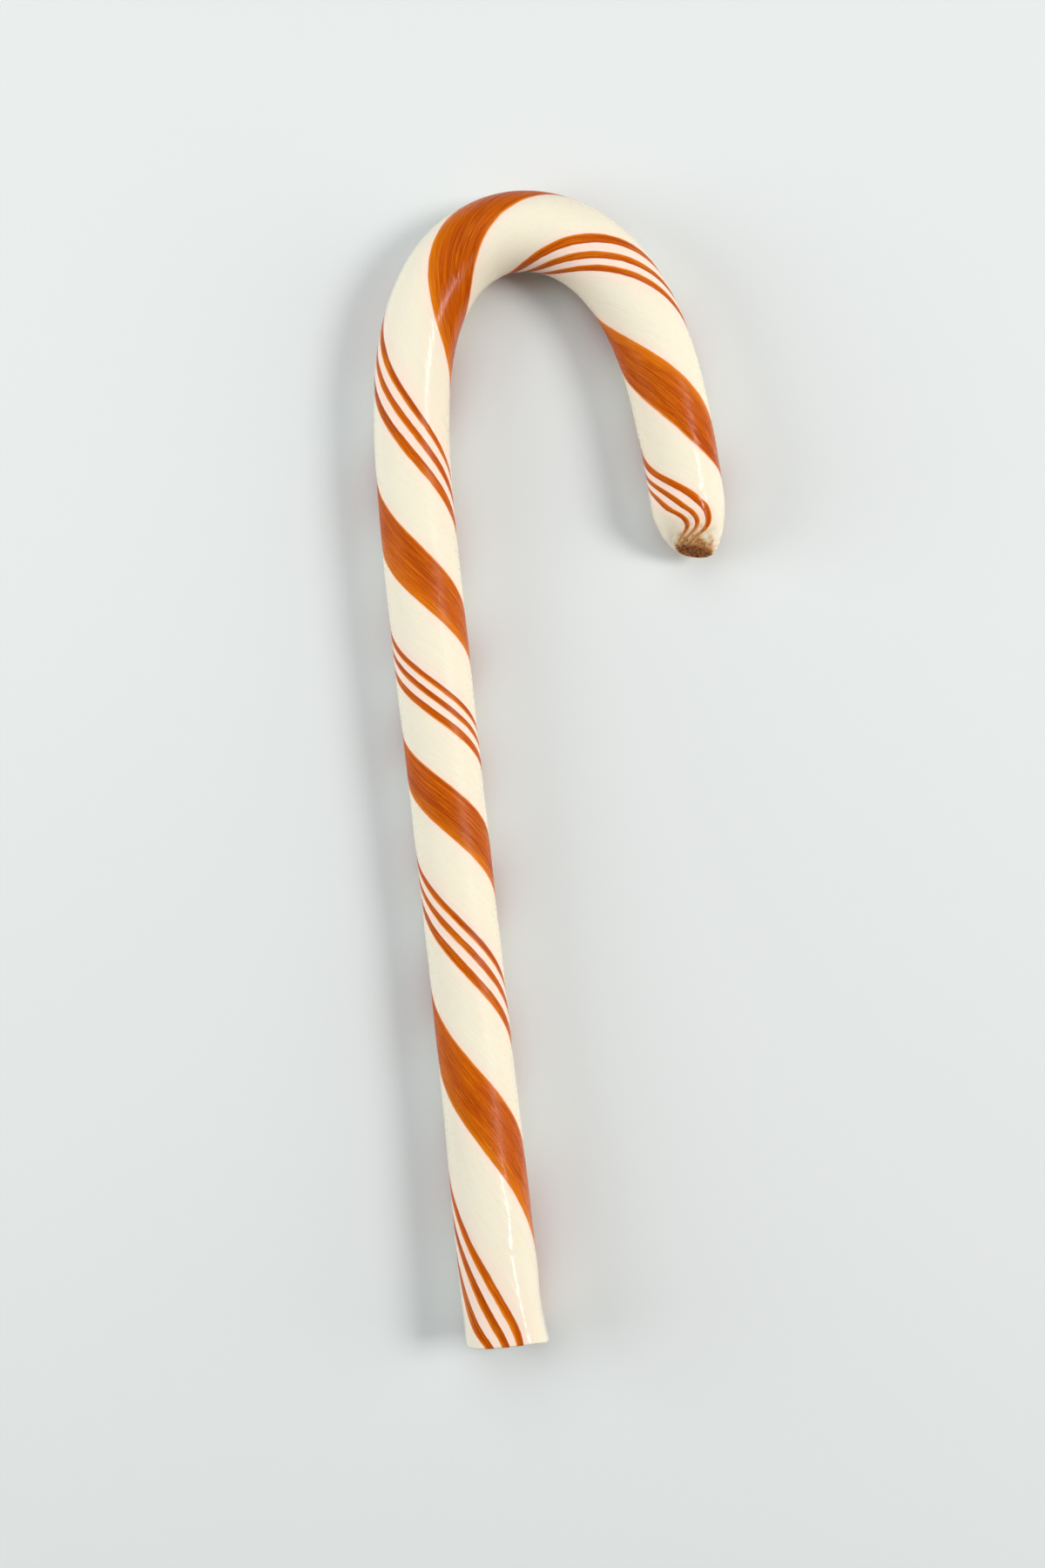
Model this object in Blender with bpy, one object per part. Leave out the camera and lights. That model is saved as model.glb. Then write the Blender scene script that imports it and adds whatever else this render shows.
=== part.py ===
"""Candy cane: a pulled sugar stick, rolled round, bent into a hook while warm and laid flat to set.

It is one solid lying on its side. Metres, +Z up. The stem runs along +Y from its cut end, the hook
opens towards -Y on the +X side, and the origin is under the middle of the whole cane, on the table.
"""

import math

import bmesh
import bpy
from mathutils import Vector

# Driving dimensions, in metres. "along" is the distance from the cut end, measured on the centreline.
PATH_LENGTH = 0.2068
BEND_MIDDLE = 0.1532
BEND_TURN = math.radians(181.2)
BEND_EASE_IN = 0.0189
BEND_EASE_OUT = 0.0208
STEM_BOW = math.radians(0.0093)  # slow turn of the whole stick, for each millimetre along it

# The section: round, a little thicker where the stick was cut and where it was bent.
STICK_RADIUS = 0.00490
CUT_SWELL = 0.00045
CUT_SWELL_REACH = 0.028
WAIST_SWELL = 0.00012
WAIST_MIDDLE = 0.094
WAIST_REACH = 0.018
BEND_SWELL = 0.00032
BEND_SWELL_REACH = 0.030

# The stick is twisted: slowly at its cut end, fast at its waist, and back a little where it was nipped.
# Degrees for each metre, as a steady rate and changes of (amount, middle, reach).
TWIST_RATE = 8950.0
TWIST_CHANGES = [
    (-4245.0, 0.0, 0.0309),
    (3717.0, 0.0808, 0.0185),
    (-1849.0, 0.1415, 0.0185),
    (13388.0, 0.1974, 0.0057),
    (-23558.0, 0.2068, 0.0084),
]

# Rolling it leaves very low lobes that wind round it with the twist.
LOBE_HEIGHT = 0.00008
LOBES = 2

# The cut end: sawn square, its section pressed a little towards a rounded square.
SQUARE_REACH = 0.010
SQUARE_AMOUNT = 0.045
EDGE_ROUNDING = 0.00030

# The tip: the warm stick was nipped off there, so it closes like a pouch to a small leaning end.
NIP_LENGTH = 0.0072
NIP_HALF_WIDTH = 0.0021
NIP_HALF_HEIGHT = 0.0014
NIP_FULLNESS = 0.70
NIP_LEAN = math.radians(20.0)  # how far its end face leans back at the top
NIP_SKEW = math.radians(15.0)  # and at the inner side of the hook

# The flat that the stick got from the table while it was still soft.
FLAT_DEPTH = 0.00022

# Mesh density.
SIDES = 32
STATION_STEP = 0.0021
NIP_STATIONS = 9


def heading(along):
    """Direction of the centreline in the table plane, counted from +X."""
    ease = BEND_EASE_IN if along < BEND_MIDDLE else BEND_EASE_OUT
    bend = BEND_TURN * (1.0 + math.tanh((along - BEND_MIDDLE) / ease)) / 2.0
    bow = STEM_BOW * along * 1000.0
    return math.pi / 2.0 + bow - bend


def hump(along, middle, reach):
    """A smooth rise of height 1 at the middle, which fades out over the reach."""
    return math.exp(-(((along - middle) / reach) ** 2))


def stick_radius(along):
    """Mean radius of the stick before the tip was nipped."""
    radius = STICK_RADIUS
    radius += CUT_SWELL * hump(along, 0.0, CUT_SWELL_REACH)
    radius += WAIST_SWELL * hump(along, WAIST_MIDDLE, WAIST_REACH)
    radius += BEND_SWELL * hump(along, BEND_MIDDLE, BEND_SWELL_REACH)
    return radius


def wound(along, middle, reach):
    """Area under the hump between the cut end and a place along the stick."""
    spread = reach * math.sqrt(math.pi) / 2.0
    return spread * (math.erf((along - middle) / reach) + math.erf(middle / reach))


def twist(along):
    """How far the stick is turned about its centreline, counted from the cut end."""
    turned = TWIST_RATE * along
    for amount, middle, reach in TWIST_CHANGES:
        turned += amount * wound(along, middle, reach)
    return math.radians(turned)


def nip(along, half_end):
    """Half of the section's size where the tip closes: full at its start, half_end at its end."""
    radius = stick_radius(along)
    closed = max(0.0, 1.0 - (PATH_LENGTH - along) / NIP_LENGTH)
    fullness = (1.0 - closed**2) ** NIP_FULLNESS
    return half_end + (radius - half_end) * fullness


def centreline(stations):
    """Points in the table plane, found by adding up short straight steps along the heading."""
    substeps = 24
    point = Vector((0.0, 0.0, 0.0))
    points = [point.copy()]
    for start, end in zip(stations, stations[1:]):
        step = (end - start) / substeps
        for index in range(substeps):
            angle = heading(start + (index + 0.5) * step)
            point += Vector((math.cos(angle), math.sin(angle), 0.0)) * step
        points.append(point.copy())
    return points


def all_stations():
    """Distances of the sections: even on the stick, closer together where the tip closes."""
    nip_start = PATH_LENGTH - NIP_LENGTH
    count = round(nip_start / STATION_STEP)
    even = [nip_start * index / count for index in range(1, count + 1)]
    closing = []
    for index in range(1, NIP_STATIONS + 1):
        closing.append(nip_start + NIP_LENGTH * math.sin(math.pi / 2.0 * index / NIP_STATIONS))
    return [0.0, EDGE_ROUNDING] + even + closing


def section(along, middle):
    """The ring of points of one section."""
    angle = heading(along)
    forward = Vector((math.cos(angle), math.sin(angle), 0.0))
    side = Vector((math.sin(angle), -math.cos(angle), 0.0))
    up = Vector((0.0, 0.0, 1.0))
    axis_height = stick_radius(along) - FLAT_DEPTH
    half_width = nip(along, NIP_HALF_WIDTH)
    half_height = nip(along, NIP_HALF_HEIGHT)
    near_cut = max(0.0, 1.0 - along / SQUARE_REACH)
    near_tip = max(0.0, 1.0 - (PATH_LENGTH - along) / NIP_LENGTH)
    edge = EDGE_ROUNDING if along == 0.0 else 0.0
    ring = []
    for index in range(SIDES):
        around = 2.0 * math.pi * index / SIDES
        across, rise = math.cos(around), math.sin(around)
        lobe = LOBE_HEIGHT * math.cos(LOBES * (around - twist(along))) * (1.0 - near_tip)
        square = 1.0 - SQUARE_AMOUNT * near_cut * math.cos(4.0 * around)
        shift = across * math.tan(NIP_SKEW) * half_width * near_tip**2
        shift += rise * math.tan(NIP_LEAN) * half_height * near_tip**2
        point = middle - forward * shift
        point += side * across * ((half_width - edge) * square + lobe)
        point += up * (axis_height + rise * ((half_height - edge) * square + lobe))
        ring.append(point)
    return ring


def swept_stick():
    """The closed stick: one face extruded from section to section along the centreline."""
    stations = all_stations()
    middles = centreline(stations)
    mesh = bmesh.new()
    bmesh.ops.create_circle(mesh, cap_ends=True, segments=SIDES, radius=stick_radius(0.0))
    face = mesh.faces[:][0]
    for vertex, point in zip(face.verts, section(stations[0], middles[0])):
        vertex.co = point
    for along, middle in zip(stations[1:], middles[1:]):
        face = bmesh.ops.extrude_discrete_faces(mesh, faces=[face])["faces"][0]
        for vertex, point in zip(face.verts, section(along, middle)):
            vertex.co = point
    close_open_edges(mesh)
    return mesh


def close_open_edges(mesh):
    """Put a face over the one open end or side and point all the faces outwards."""
    rim = [edge for edge in mesh.edges if edge.is_boundary]
    bmesh.ops.edgeloop_fill(mesh, edges=rim)
    bmesh.ops.recalc_face_normals(mesh, faces=mesh.faces[:])


def press_flat(mesh):
    """Slice off the underside at the table and close the narrow flat that this leaves."""
    everything = mesh.verts[:] + mesh.edges[:] + mesh.faces[:]
    bmesh.ops.bisect_plane(
        mesh,
        geom=everything,
        dist=1e-7,
        plane_co=(0.0, 0.0, 0.0),
        plane_no=(0.0, 0.0, -1.0),
        clear_outer=True,
    )
    close_open_edges(mesh)


def centre_on_origin(mesh):
    """Move the stick so that the origin is under the middle of its box."""
    xs = [vertex.co.x for vertex in mesh.verts]
    ys = [vertex.co.y for vertex in mesh.verts]
    middle = Vector(((min(xs) + max(xs)) / 2.0, (min(ys) + max(ys)) / 2.0, 0.0))
    bmesh.ops.translate(mesh, vec=-middle, verts=mesh.verts[:])


def sugar_material():
    material = bpy.data.materials.new("pulled_sugar")
    material.use_nodes = True
    shader = material.node_tree.nodes["Principled BSDF"]
    shader.inputs["Base Color"].default_value = (0.88, 0.79, 0.62, 1.0)
    shader.inputs["Roughness"].default_value = 0.28
    shader.inputs["Metallic"].default_value = 0.0
    return material


def clear_scene():
    for item in list(bpy.data.objects):
        bpy.data.objects.remove(item)


def build():
    clear_scene()
    collection = bpy.data.collections.new("candy_cane")
    bpy.context.scene.collection.children.link(collection)
    stick = swept_stick()
    press_flat(stick)
    centre_on_origin(stick)
    mesh = bpy.data.meshes.new("candy_cane")
    stick.to_mesh(mesh)
    stick.free()
    mesh.materials.append(sugar_material())
    mesh.shade_smooth()
    mesh.set_sharp_from_angle(angle=math.radians(40.0))
    collection.objects.link(bpy.data.objects.new("candy_cane", mesh))


build()
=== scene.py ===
import math

import bmesh
import bpy
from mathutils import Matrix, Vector, noise


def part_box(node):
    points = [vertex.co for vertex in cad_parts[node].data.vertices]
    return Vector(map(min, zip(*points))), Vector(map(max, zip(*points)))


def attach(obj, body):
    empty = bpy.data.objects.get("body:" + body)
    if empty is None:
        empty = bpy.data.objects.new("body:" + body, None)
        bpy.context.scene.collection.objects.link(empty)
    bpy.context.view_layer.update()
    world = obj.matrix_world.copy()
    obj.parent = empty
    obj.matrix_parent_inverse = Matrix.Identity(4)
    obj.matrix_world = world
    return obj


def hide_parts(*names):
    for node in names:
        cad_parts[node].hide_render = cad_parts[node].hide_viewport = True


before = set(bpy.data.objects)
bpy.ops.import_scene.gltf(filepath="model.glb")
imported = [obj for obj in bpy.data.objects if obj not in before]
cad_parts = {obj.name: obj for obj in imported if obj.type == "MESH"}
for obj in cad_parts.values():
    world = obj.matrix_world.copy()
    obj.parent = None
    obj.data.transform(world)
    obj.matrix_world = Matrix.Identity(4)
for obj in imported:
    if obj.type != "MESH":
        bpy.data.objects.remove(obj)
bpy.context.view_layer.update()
print("frame loaded")

# The stick's line, the same as the solid's. Lengths are in metres from the cut end.
line = {
    "length": 0.2068,
    "bendMiddle": 0.1532,
    "bendTurn": math.radians(181.2),
    "easeIn": 0.0189,
    "easeOut": 0.0208,
    "bow": math.radians(9.3),  # for each metre
}

winding = {
    "rate": 8911.0,  # degrees for each metre, then the places where it is slower or tighter
    "changes": [
        (-4194.0, 0.0, 0.0296),
        (3771.0, 0.0809, 0.0184),
        (-1751.0, 0.1390, 0.0160),
        (7164.0, 0.1971, 0.00285),
        (-64279.0, 0.2068, 0.00222),
    ],
    "start": 364.1,  # where the middle thin stripe meets the cut end, counted from the top
    "gathered": 0.95,  # how much the stripes are drawn together at the tip
    "gatheredAt": -11.7,
    "gatheredReach": 0.0054,
    "closed": 0.30,  # and a little at the cut end
    "closedReach": 0.0036,
}

section = {
    "radius": 0.00490,
    "swells": [(0.00045, 0.0, 0.028), (0.00012, 0.094, 0.018), (0.00032, 0.1532, 0.030)],
    "flat": 0.00022,  # how far the table has flattened the underside
    "squareReach": 0.010,
    "squareness": 0.045,
    "rim": 0.00018,
    "flare": 0.00075,  # how far one corner was pushed out by the saw
    "flareLip": 0.00085,  # and drawn out past the cut
    "heel": 0.00035,  # and the opposite corner
    "flareReach": 0.0060,
}

tip = {
    "reach": 0.0072,
    "halfWidth": 0.0021,
    "halfHeight": 0.0014,
    "fullness": 0.70,
    "lean": math.radians(20.0),
    "skew": math.radians(15.0),
    "pleats": 0.00010,
}

# The stripes' edges, in degrees round the unwound stick from the middle thin stripe.
stripes = {
    "thin": [(-38.8, -21.6), (-6.4, 6.4), (18.9, 31.3)],
    "wide": (138.1, 223.6),
    "wideEnd": 205.0,  # mm along, where it ends under the tip
    "tongue": 22.0,  # how pointed that end is
    "waver": 6.0,  # degrees
    "fineWaver": 1.6,
    "softEdge": 0.45,
}

skin = {
    "sides": 160,
    "rings": 570,
    "crowding": 0.60,  # how much closer the rings stand at both ends
    "endRings": 12,  # rings on each end face, and their distance as a share of the radius
    "endStep": 0.07,
    "seamDepth": 0.00006,
    "seamWidth": 6.0,  # degrees
    "unevenness": 0.00006,
    "ridges": 0.000012,
}


def hump(along, middle, reach):
    return math.exp(-(((along - middle) / reach) ** 2))


def wound(along, middle, reach):  # the area under a hump, up to a place along the stick
    spread = reach * math.sqrt(math.pi) / 2.0
    return spread * (math.erf((along - middle) / reach) + math.erf(middle / reach))


def heading(along):
    ease = line["easeIn"] if along < line["bendMiddle"] else line["easeOut"]
    bend = line["bendTurn"] * (1.0 + math.tanh((along - line["bendMiddle"]) / ease)) / 2.0
    return math.pi / 2.0 + line["bow"] * along - bend


def turned(along):  # degrees
    total = winding["rate"] * along
    for amount, middle, reach in winding["changes"]:
        total += amount * wound(along, middle, reach)
    return total


def placeRound(angle, along):  # where a point lies round the unwound stick
    near = max(0.0, 1.0 - (line["length"] - along) / winding["gatheredReach"])
    drawn = winding["gathered"] * near * math.sin(math.radians(angle - winding["gatheredAt"]))
    near = max(0.0, 1.0 - along / winding["closedReach"])
    drawn += winding["closed"] * near**2 * math.sin(math.radians(angle))
    return angle + math.degrees(drawn) + turned(along) - winding["start"]


def stickRadius(along):
    swells = sum(size * hump(along, middle, reach) for size, middle, reach in section["swells"])
    return section["radius"] + swells


def nipped(along, halfEnd):
    radius = stickRadius(along)
    closed = min(1.0, max(0.0, 1.0 - (line["length"] - along) / tip["reach"]))
    return halfEnd + (radius - halfEnd) * (1.0 - closed**2) ** tip["fullness"]


def centreLine(steps=6000):
    step = line["length"] / steps
    points = [Vector((0.0, 0.0, 0.0))]
    for index in range(steps):
        angle = heading((index + 0.5) * step)
        points.append(points[-1] + Vector((math.cos(angle), math.sin(angle), 0.0)) * step)
    return points, step


def degreesApart(first, second):
    return (first - second + 180.0) % 360.0 - 180.0


def relief(place, along):  # how far the skin stands out of the plain round section
    height = 0.0
    edges = [stripes["wide"][0], stripes["wide"][1], stripes["thin"][0][0], stripes["thin"][2][1]]
    for edge in edges:
        height -= skin["seamDepth"] * math.exp(-((degreesApart(place, edge) / skin["seamWidth"]) ** 2))
    turn = math.radians(place)
    spot = Vector((math.cos(turn), math.sin(turn), along * 60.0))
    height += skin["unevenness"] * noise.noise(spot)
    if stripes["wide"][0] < place % 360.0 < stripes["wide"][1]:
        height += skin["ridges"] * noise.noise(Vector((place * 0.16, along * 22.0, 3.0)))
    return height


def straightStick():
    mesh = bmesh.new()
    bmesh.ops.create_cone(mesh, cap_ends=True, segments=skin["sides"], radius1=1.0, radius2=1.0, depth=1.0)
    sides = [edge for edge in mesh.edges if abs(edge.verts[0].co.z - edge.verts[1].co.z) > 0.5]
    bmesh.ops.subdivide_edges(mesh, edges=sides, cuts=skin["rings"], use_grid_fill=True)
    for ring in range(skin["endRings"]):
        caps = [face for face in mesh.faces if len(face.verts) > 4]
        bmesh.ops.inset_individual(mesh, faces=caps, thickness=skin["endStep"])
    caps = [face for face in mesh.faces if len(face.verts) > 4]
    bmesh.ops.poke(mesh, faces=caps)
    return mesh


def shapeStick(mesh):
    points, step = centreLine()
    placeLayer = mesh.verts.layers.float_vector.new("unwound")
    burntLayer = mesh.verts.layers.float.new("burnt")
    up = Vector((0.0, 0.0, 1.0))
    for vertex in mesh.verts:
        share = vertex.co.z + 0.5
        crowd = skin["crowding"] * math.sin(2.0 * math.pi * share) / (2.0 * math.pi)
        along = line["length"] * min(1.0, max(0.0, share - crowd))
        spoke = min(1.0, math.hypot(vertex.co.x, vertex.co.y))
        around = math.atan2(vertex.co.y, vertex.co.x)
        place = placeRound(90.0 - math.degrees(around), along)
        across, rise = math.cos(around) * spoke, math.sin(around) * spoke

        angle = heading(along)
        forward = Vector((math.cos(angle), math.sin(angle), 0.0))
        side = Vector((math.sin(angle), -math.cos(angle), 0.0))
        middle = points[min(len(points) - 1, round(along / step))]
        halfWidth = nipped(along, tip["halfWidth"])
        halfHeight = nipped(along, tip["halfHeight"])
        nearCut = max(0.0, 1.0 - along / section["squareReach"])
        nearTip = max(0.0, 1.0 - (line["length"] - along) / tip["reach"])

        square = 1.0 - section["squareness"] * nearCut * math.cos(4.0 * around)
        rim = section["rim"] * max(0.0, 1.0 - along / section["rim"]) ** 2
        bump = relief(place, along) * (1.0 - 0.7 * nearTip)
        pleat = tip["pleats"] * nearTip**3 * math.sin(math.radians(place) * 9.0)
        shift = across * math.tan(tip["skew"]) * halfWidth * nearTip**2
        shift += rise * math.tan(tip["lean"]) * halfHeight * nearTip**2
        sideways = across * ((halfWidth - rim) * square + bump + pleat)
        nearFlare = max(0.0, 1.0 - along / section["flareReach"]) ** 2
        sideways += section["flare"] * max(0.0, across) ** 3 * nearFlare
        shift += (section["flareLip"] if across > 0.0 else section["heel"]) * across**4 * nearFlare
        height = stickRadius(along) - section["flat"] + rise * ((halfHeight - rim) * square + bump + pleat)
        if along > line["length"] - 1e-6:  # the torn face of the tip
            crumb = noise.noise(Vector((across * 3.5, rise * 3.0, 7.0))) * 0.00030
            crumb += noise.noise(Vector((across * 9.0, rise * 8.0, 1.0))) * 0.00014
            shift += (1.0 - spoke**3) * 0.00025 + crumb * (1.0 - spoke**6)
        elif along < 1e-6:  # the sawn face of the cut end
            sawn = noise.noise(Vector((across * 4.0, rise * 14.0, 2.0))) * 0.00006
            shift -= sawn * (1.0 - spoke**4)
        vertex.co = middle - forward * shift + side * sideways + up * max(0.0, height)

        radius = stickRadius(along) * 1000.0 * spoke
        turn = math.radians(place)
        vertex[placeLayer] = Vector((radius * math.cos(turn), radius * math.sin(turn), along * 1000.0))
        vertex[burntLayer] = burntShare(along, across, rise, spoke)
    bmesh.ops.recalc_face_normals(mesh, faces=mesh.faces[:])


scar = {
    "halo": 0.0021,  # how far the tan colour reaches back from the torn face
    "haloTurn": 62.0,  # and how far round, in degrees from its middle
    "middle": -4.0,
}


def burntShare(along, across, rise, spoke):  # 1 on the torn face, and up to a half round it
    back = line["length"] - along
    if back > 0.008:
        return 0.0
    ragged = noise.noise(Vector((across * 4.0, rise * 4.0, back * 1400.0)))
    if back < 1e-6:
        return 1.0 - 0.35 * max(0.0, ragged + (spoke - 0.9) * 6.0)
    angle = 90.0 - math.degrees(math.atan2(rise, across))
    turn = degreesApart(angle, scar["middle"]) / scar["haloTurn"]
    reach = scar["halo"] * math.exp(-turn * turn) * (1.0 + 0.9 * ragged)
    return 0.55 * math.exp(-((back / max(reach, 0.0002)) ** 2))


def centreOnFrame(mesh):
    low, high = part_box("candy_cane")
    xs = [vertex.co.x for vertex in mesh.verts]
    ys = [vertex.co.y for vertex in mesh.verts]
    x = (low.x + high.x - min(xs) - max(xs)) / 2.0
    y = high.y - max(ys)  # the bend stays in place, and the lip at the cut stands out
    bmesh.ops.translate(mesh, vec=Vector((x, y, low.z)), verts=mesh.verts[:])


sugar = {
    "cream": (0.845, 0.780, 0.630),
    "creamDeep": (0.825, 0.730, 0.545),
    "pink": (0.910, 0.705, 0.590),
    "orange": (0.530, 0.090, 0.0002),
    "orangeDark": (0.365, 0.048, 0.0001),
    "orangeLight": (0.800, 0.240, 0.006),
    "tan": (0.600, 0.350, 0.120),
    "rust": (0.430, 0.160, 0.040),
    "char": (0.150, 0.026, 0.010),
    "frosted": 0.50,  # roughness where it is dull, and where it is polished
    "polished": 0.10,
    "polish": [(0.0, 1.0), (0.085, 1.0), (0.13, 0.35), (0.30, 0.20), (0.56, 0.30), (0.62, 0.8), (0.69, 0.9),
               (0.74, 0.2), (0.90, 0.3), (0.96, 1.0)],
    "bump": 0.00009,
    "softness": 0.35,  # how much light sinks into the cream, and how much less into the stripes
    "stripeHardness": 0.28,
    "sinking": (1.0, 0.62, 0.35),
    "sinkingDepth": 0.0012,
    "ior": 1.45,
    "glossLevel": 0.20,
}


def node(tree, kind, **settings):
    made = tree.nodes.new(kind)
    for name, value in settings.items():
        setattr(made, name, value)
    return made


def calc(tree, operation, first, second=None, clamp=False):
    made = node(tree, "ShaderNodeMath", operation=operation, use_clamp=clamp)
    for index, value in enumerate((first, second)):
        if value is None:
            continue
        if isinstance(value, (int, float)):
            made.inputs[index].default_value = value
        else:
            tree.links.new(value, made.inputs[index])
    return made.outputs[0]


def mixColour(tree, share, first, second):
    made = node(tree, "ShaderNodeMix", data_type="RGBA", blend_type="MIX")
    for socket, value in ((made.inputs[0], share), (made.inputs[6], first), (made.inputs[7], second)):
        if isinstance(value, (int, float)):
            socket.default_value = value
        elif isinstance(value, tuple):
            socket.default_value = (*value, 1.0)
        else:
            tree.links.new(value, socket)
    return made.outputs[2]


def noiseOn(tree, vector, scale, detail=2.0, roughness=0.5):
    made = node(tree, "ShaderNodeTexNoise")
    tree.links.new(vector, made.inputs["Vector"])
    made.inputs["Scale"].default_value = scale
    made.inputs["Detail"].default_value = detail
    made.inputs["Roughness"].default_value = roughness
    return made.outputs["Fac"]


def stretched(tree, vector, scale):
    made = node(tree, "ShaderNodeVectorMath", operation="MULTIPLY")
    tree.links.new(vector, made.inputs[0])
    made.inputs[1].default_value = scale
    return made.outputs[0]


def ramp(tree, share, stops):
    made = node(tree, "ShaderNodeValToRGB")
    elements = made.color_ramp.elements
    while len(elements) > 1:
        elements.remove(elements[-1])
    for index, (position, value) in enumerate(stops):
        element = elements[0] if index == 0 else elements.new(position)
        element.position = position
        element.color = (value, value, value, 1.0)
    tree.links.new(share, made.inputs[0])
    return made.outputs[0]


def aroundStops(pairs):  # degrees to the ramp's 0 to 1
    return [((degrees + 180.0) / 360.0, value) for degrees, value in pairs]


def sugarMaterial():
    material = bpy.data.materials.new("pulledSugar")
    material.use_nodes = True
    tree = material.node_tree
    shader = tree.nodes["Principled BSDF"]
    unwound = node(tree, "ShaderNodeAttribute", attribute_name="unwound").outputs["Vector"]
    burnt = node(tree, "ShaderNodeAttribute", attribute_name="burnt").outputs["Fac"]
    split = node(tree, "ShaderNodeSeparateXYZ")
    tree.links.new(unwound, split.inputs[0])
    x, y = split.outputs[0], split.outputs[1]

    # the angle round the unwound stick, with the small wavering of stripes laid by hand
    drawn = stretched(tree, unwound, (1.0, 1.0, 0.16))
    waver = calc(tree, "SUBTRACT", noiseOn(tree, drawn, 0.55, 2.0), 0.5)
    fine = calc(tree, "SUBTRACT", noiseOn(tree, stretched(tree, unwound, (1.0, 1.0, 0.5)), 1.6, 1.0), 0.5)
    angle = calc(tree, "MULTIPLY", calc(tree, "ARCTAN2", y, x), 180.0 / math.pi)
    angle = calc(tree, "ADD", angle, calc(tree, "MULTIPLY", waver, stripes["waver"]))
    angle = calc(tree, "ADD", angle, calc(tree, "MULTIPLY", fine, stripes["fineWaver"]))
    share = calc(tree, "DIVIDE", calc(tree, "ADD", angle, 180.0), 360.0)
    share = calc(tree, "FRACT", share)

    wideLow, wideHigh = stripes["wide"][0], stripes["wide"][1] - 360.0
    soft = stripes["softEdge"]
    stops = [(-180.0, 1.0), (wideHigh - soft, 1.0), (wideHigh + soft, 0.0)]
    for low, high in stripes["thin"]:
        stops += [(low - soft, 0.0), (low + soft, 1.0), (high - soft, 1.0), (high + soft, 0.0)]
    stops += [(wideLow - soft, 0.0), (wideLow + soft, 1.0)]
    inStripe = ramp(tree, share, aroundStops(stops))
    fromUnder = calc(tree, "SUBTRACT", 0.5, calc(tree, "ABSOLUTE", calc(tree, "SUBTRACT", share, 0.5)))
    tongue = calc(tree, "SUBTRACT", stripes["wideEnd"], split.outputs[2])
    tongue = calc(tree, "SUBTRACT", tongue, calc(tree, "MULTIPLY", fromUnder, stripes["tongue"]))
    tongue = calc(tree, "MULTIPLY", tongue, 2.0, clamp=True)

    glow = [(-180.0, 0.0), (wideHigh - 5.0, 0.0), (wideHigh - 1.0, 0.9), (wideHigh + 0.5, 1.0)]
    for low, high in stripes["thin"]:
        glow += [(low - 0.5, 1.0), (low + 1.5, 0.8), (low + 4.5, 0.0), (high + 0.5, 0.0)]
    glow += [(wideLow - 0.5, 1.0), (wideLow + 2.0, 0.8), (wideLow + 8.0, 0.40), (wideLow + 26.0, 0.0)]
    atEdge = ramp(tree, share, aroundStops(glow))

    blush = [
        (-180.0, 0.9), (wideHigh + 1.0, 0.85), (wideHigh + 10.0, 0.20), (wideHigh + 26.0, 0.0),
        (-62.0, 0.0), (-46.0, 0.30), (-39.0, 0.80), (-30.0, 1.0), (30.0, 1.0), (34.0, 0.75), (44.0, 0.45),
        (60.0, 0.10), (74.0, 0.0), (wideLow - 26.0, 0.0), (wideLow - 10.0, 0.25), (wideLow - 1.0, 0.90),
    ]
    pinkness = ramp(tree, share, aroundStops(blush))

    shade = [(-180.0, 0.35)]
    for low, high in stripes["thin"]:
        shade += [(low + 3.0, 0.0), (high - 4.0, 0.25), (high - 0.5, 1.0)]
    shade += [(wideLow + 12.0, 0.0), (wideLow + 32.0, 0.35)]
    atShade = ramp(tree, share, aroundStops(shade))

    inWide = [(-180.0, 1.0), (wideHigh, 1.0), (wideHigh + 0.1, 0.0), (wideLow - 0.1, 0.0), (wideLow, 1.0)]
    wide = ramp(tree, share, aroundStops(inWide))

    # the wide stripe ends in a tongue before the tip
    notWide = calc(tree, "SUBTRACT", 1.0, wide)
    inStripe = calc(tree, "MULTIPLY", inStripe, calc(tree, "MAXIMUM", tongue, notWide))

    # on the sawn face the stripes and the blush are only as deep as the skin
    flat = node(tree, "ShaderNodeVectorMath", operation="LENGTH")
    tree.links.new(stretched(tree, unwound, (1.0, 1.0, 0.0)), flat.inputs[0])
    depth = ramp(tree, calc(tree, "DIVIDE", flat.outputs["Value"], 6.0), [(0.70, 0.0), (0.76, 1.0)])

    # cream sugar, clouded along the pull
    cloud = noiseOn(tree, stretched(tree, unwound, (1.0, 1.0, 0.12)), 0.5, 4.0, 0.6)
    cream = mixColour(tree, calc(tree, "MULTIPLY", cloud, 0.55), sugar["cream"], sugar["creamDeep"])
    cream = mixColour(tree, calc(tree, "MULTIPLY", pinkness, depth), cream, sugar["pink"])

    # orange sugar, streaked along the pull
    streaks = noiseOn(tree, stretched(tree, unwound, (1.0, 1.0, 0.030)), 2.2, 4.0, 0.75)
    hair = noiseOn(tree, stretched(tree, unwound, (1.0, 1.0, 0.045)), 6.5, 2.0, 0.6)
    patch = noiseOn(tree, stretched(tree, unwound, (1.0, 1.0, 0.22)), 0.55, 3.0, 0.6)
    blotches = calc(tree, "ADD", calc(tree, "MULTIPLY", streaks, 0.6), calc(tree, "MULTIPLY", patch, 0.4))
    darkness = ramp(tree, blotches, [(0.46, 0.0), (0.57, 1.0)])
    lightness = ramp(tree, hair, [(0.50, 0.0), (0.66, 1.0)])
    orange = mixColour(tree, darkness, sugar["orange"], sugar["orangeDark"])
    orange = mixColour(tree, calc(tree, "MULTIPLY", lightness, 0.60), orange, sugar["orangeLight"])
    orange = mixColour(tree, calc(tree, "MULTIPLY", atShade, 0.60), orange, sugar["orangeDark"])
    orange = mixColour(tree, calc(tree, "MULTIPLY", atEdge, 0.75), orange, sugar["orangeLight"])

    colour = mixColour(tree, calc(tree, "MULTIPLY", inStripe, depth), cream, orange)

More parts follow.
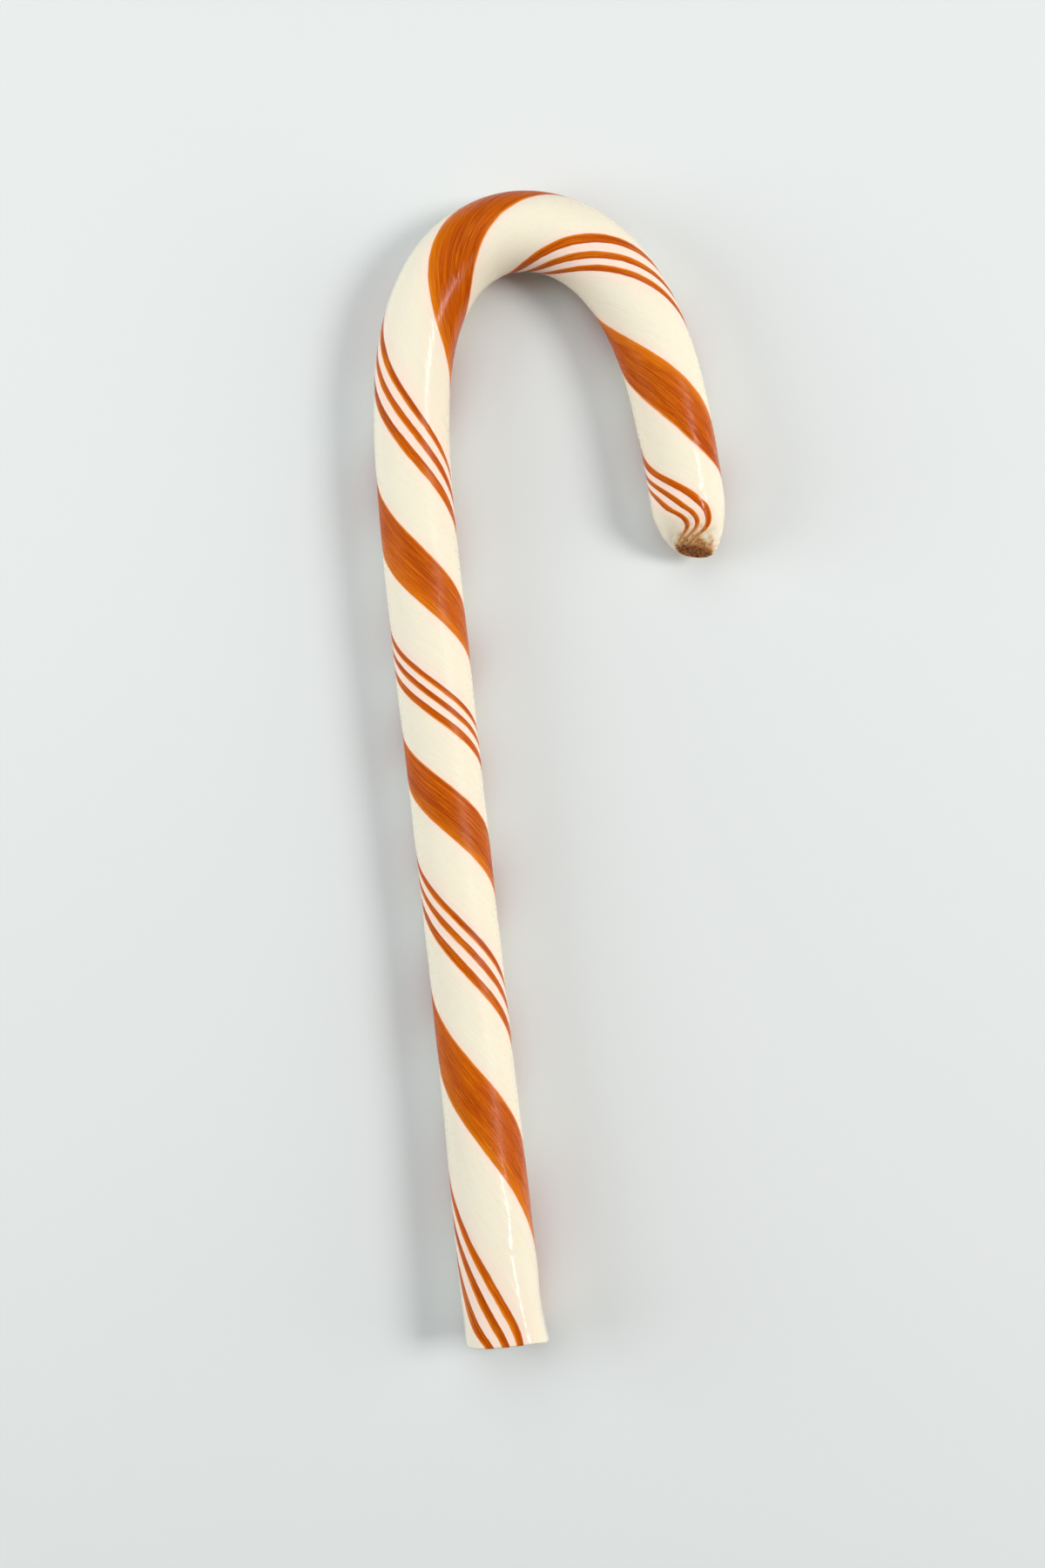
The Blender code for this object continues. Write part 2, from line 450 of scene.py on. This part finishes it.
    # the burnt scar at the tip
    mottle = noiseOn(tree, unwound, 3.2, 3.0, 0.7)
    crumbs = noiseOn(tree, node(tree, "ShaderNodeTexCoord").outputs["Object"], 2600.0, 2.0, 0.7)
    tanShare = calc(tree, "MULTIPLY", burnt, calc(tree, "ADD", mottle, 1.15), clamp=True)
    colour = mixColour(tree, tanShare, colour, sugar["tan"])
    charred = calc(tree, "ADD", burnt, calc(tree, "MULTIPLY", crumbs, 0.9))
    speckShare = ramp(tree, charred, [(0.90, 0.0), (1.06, 1.0)])
    scorched = mixColour(tree, ramp(tree, crumbs, [(0.40, 0.0), (0.54, 1.0)]), sugar["char"], sugar["rust"])
    colour = mixColour(tree, speckShare, colour, scorched)
    tree.links.new(colour, shader.inputs["Base Color"])

    # polished where it was handled, frosted with a few bright specks elsewhere
    polish = ramp(tree, calc(tree, "DIVIDE", split.outputs[2], 207.0), sugar["polish"])
    worn = noiseOn(tree, stretched(tree, unwound, (1.0, 1.0, 0.4)), 0.45, 2.0, 0.5)
    polish = calc(tree, "MULTIPLY", polish, calc(tree, "ADD", worn, 0.5), clamp=True)
    pits = noiseOn(tree, stretched(tree, unwound, (1.0, 1.0, 0.55)), 3.6, 1.0, 0.5)
    specks = ramp(tree, pits, [(0.60, 0.0), (0.76, 1.0)])
    swell = noiseOn(tree, stretched(tree, unwound, (1.0, 1.0, 0.35)), 1.0, 2.0, 0.5)
    bumpHeight = calc(tree, "MULTIPLY", swell, 0.9)
    bumpHeight = calc(tree, "ADD", calc(tree, "MULTIPLY", specks, 0.18), bumpHeight)
    drawnLines = calc(tree, "MULTIPLY", calc(tree, "MULTIPLY", streaks, wide), 0.20)
    bumpHeight = calc(tree, "ADD", bumpHeight, drawnLines)
    crumbled = calc(tree, "MULTIPLY", calc(tree, "MULTIPLY", crumbs, burnt), 2.0)
    bumpHeight = calc(tree, "ADD", bumpHeight, crumbled)
    bump = node(tree, "ShaderNodeBump")
    bump.inputs["Strength"].default_value = 1.0
    bump.inputs["Distance"].default_value = sugar["bump"]
    tree.links.new(bumpHeight, bump.inputs["Height"])
    tree.links.new(bump.outputs[0], shader.inputs["Normal"])

    shine = calc(tree, "MAXIMUM", polish, calc(tree, "MULTIPLY", specks, 3.0, clamp=True))
    rough = node(tree, "ShaderNodeMapRange")
    tree.links.new(shine, rough.inputs["Value"])
    rough.inputs["To Min"].default_value = sugar["frosted"]
    rough.inputs["To Max"].default_value = sugar["polished"]
    rough = calc(tree, "ADD", rough.outputs[0], calc(tree, "MULTIPLY", burnt, 0.45), clamp=True)
    tree.links.new(rough, shader.inputs["Roughness"])
    shader.inputs["IOR"].default_value = sugar["ior"]
    shader.inputs["Specular IOR Level"].default_value = sugar["glossLevel"]
    hardness = calc(tree, "MULTIPLY", inStripe, sugar["stripeHardness"])
    softness = calc(tree, "SUBTRACT", sugar["softness"], hardness)
    tree.links.new(softness, shader.inputs["Subsurface Weight"])
    shader.inputs["Subsurface Radius"].default_value = sugar["sinking"]
    shader.inputs["Subsurface Scale"].default_value = sugar["sinkingDepth"]
    return material


def makeCane():
    mesh = straightStick()
    shapeStick(mesh)
    centreOnFrame(mesh)
    data = bpy.data.meshes.new("candyCane")
    mesh.to_mesh(data)
    mesh.free()
    data.shade_smooth()
    data.set_sharp_from_angle(angle=math.radians(50.0))
    data.materials.append(sugarMaterial())
    piece = bpy.data.objects.new("candyCane", data)
    bpy.context.scene.collection.objects.link(piece)
    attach(piece, "root")
    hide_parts("candy_cane")
    print("cane made:", len(data.polygons), "faces")


makeCane()

studio = {
    "floor": (0.726, 0.738, 0.722),
    "floorRoughness": 0.12,
    "floorSize": 3.0,
    "sky": 0.13,
    "skyColour": (0.93, 0.98, 1.04),
}

# Each light's power, size and place, and whether it lights matt surfaces and shows in glossy ones.
lights = {
    "key": {"power": 4.2, "size": (0.30, 0.30), "place": (0.62, 0.02, 0.62),
            "matt": True, "glossy": False, "colour": (1.0, 0.98, 0.95)},
    "fill": {"power": 2.65, "size": (0.80, 0.80), "place": (-0.12, 0.38, 0.62),
             "matt": True, "glossy": False, "colour": (0.95, 1.0, 1.03)},
    "rightCard": {"power": 1.05, "size": (0.40, 0.40), "place": (0.50, -0.05, 0.18),
                  "matt": True, "glossy": False, "colour": (1.0, 0.99, 0.97)},
    "leftCard": {"power": 1.55, "size": (0.36, 0.36), "place": (-0.46, 0.06, 0.20),
                 "matt": True, "glossy": False, "colour": (0.95, 1.0, 1.03)},
    "strip": {"power": 4.8, "size": (0.66, 0.024), "place": (0.60, -0.02, 0.56),
              "matt": False, "glossy": True, "colour": (1.0, 1.0, 1.0)},
    "lowCard": {"power": 0.35, "size": (1.30, 0.22), "place": (-0.60, 0.00, 0.10),
                "matt": False, "glossy": True, "colour": (1.0, 0.97, 0.92)},
}


def floorMaterial():
    material = bpy.data.materials.new("paleTable")
    material.use_nodes = True
    shader = material.node_tree.nodes["Principled BSDF"]
    shader.inputs["Base Color"].default_value = (*studio["floor"], 1.0)
    shader.inputs["Roughness"].default_value = studio["floorRoughness"]
    return material


def makeFloor():
    mesh = bmesh.new()
    bmesh.ops.create_grid(mesh, x_segments=1, y_segments=1, size=studio["floorSize"] / 2.0)
    data = bpy.data.meshes.new("floor")
    mesh.to_mesh(data)
    mesh.free()
    data.materials.append(floorMaterial())
    floor = bpy.data.objects.new("floor", data)
    bpy.context.scene.collection.objects.link(floor)


def makeLight(name, settings):
    lamp = bpy.data.lights.new(name, "AREA")
    lamp.shape = "ELLIPSE"
    lamp.size, lamp.size_y = settings["size"]
    lamp.energy = settings["power"]
    lamp.color = settings["colour"]
    light = bpy.data.objects.new(name, lamp)
    light.location = settings["place"]
    light.rotation_euler = light.location.to_track_quat("Z", "Y").to_euler()
    light.visible_diffuse = settings["matt"]
    light.visible_glossy = settings["glossy"]
    bpy.context.scene.collection.objects.link(light)


def makeSky():
    world = bpy.data.worlds.new("studio")
    bpy.context.scene.world = world
    world.use_nodes = True
    background = world.node_tree.nodes["Background"]
    background.inputs["Color"].default_value = (*studio["skyColour"], 1.0)
    background.inputs["Strength"].default_value = studio["sky"]


view = {
    "lens": 48.0,
    "frameHeight": 0.2076,  # what the frame's long side spans at the cane's middle height
    "middle": (-0.0075, -0.0027),
    "turn": math.radians(-5.745),
}


def makeCamera():
    data = bpy.data.cameras.new("camera")
    data.lens = view["lens"]
    camera = bpy.data.objects.new("camera", data)
    distance = view["lens"] / data.sensor_width * view["frameHeight"]
    camera.location = (*view["middle"], distance + section["radius"])
    camera.rotation_euler = (0.0, 0.0, view["turn"])
    bpy.context.scene.collection.objects.link(camera)
    bpy.context.scene.camera = camera


makeFloor()
for name, settings in lights.items():
    makeLight(name, settings)
makeSky()
makeCamera()
bpy.context.scene.view_settings.view_transform = "Standard"
print("studio made")
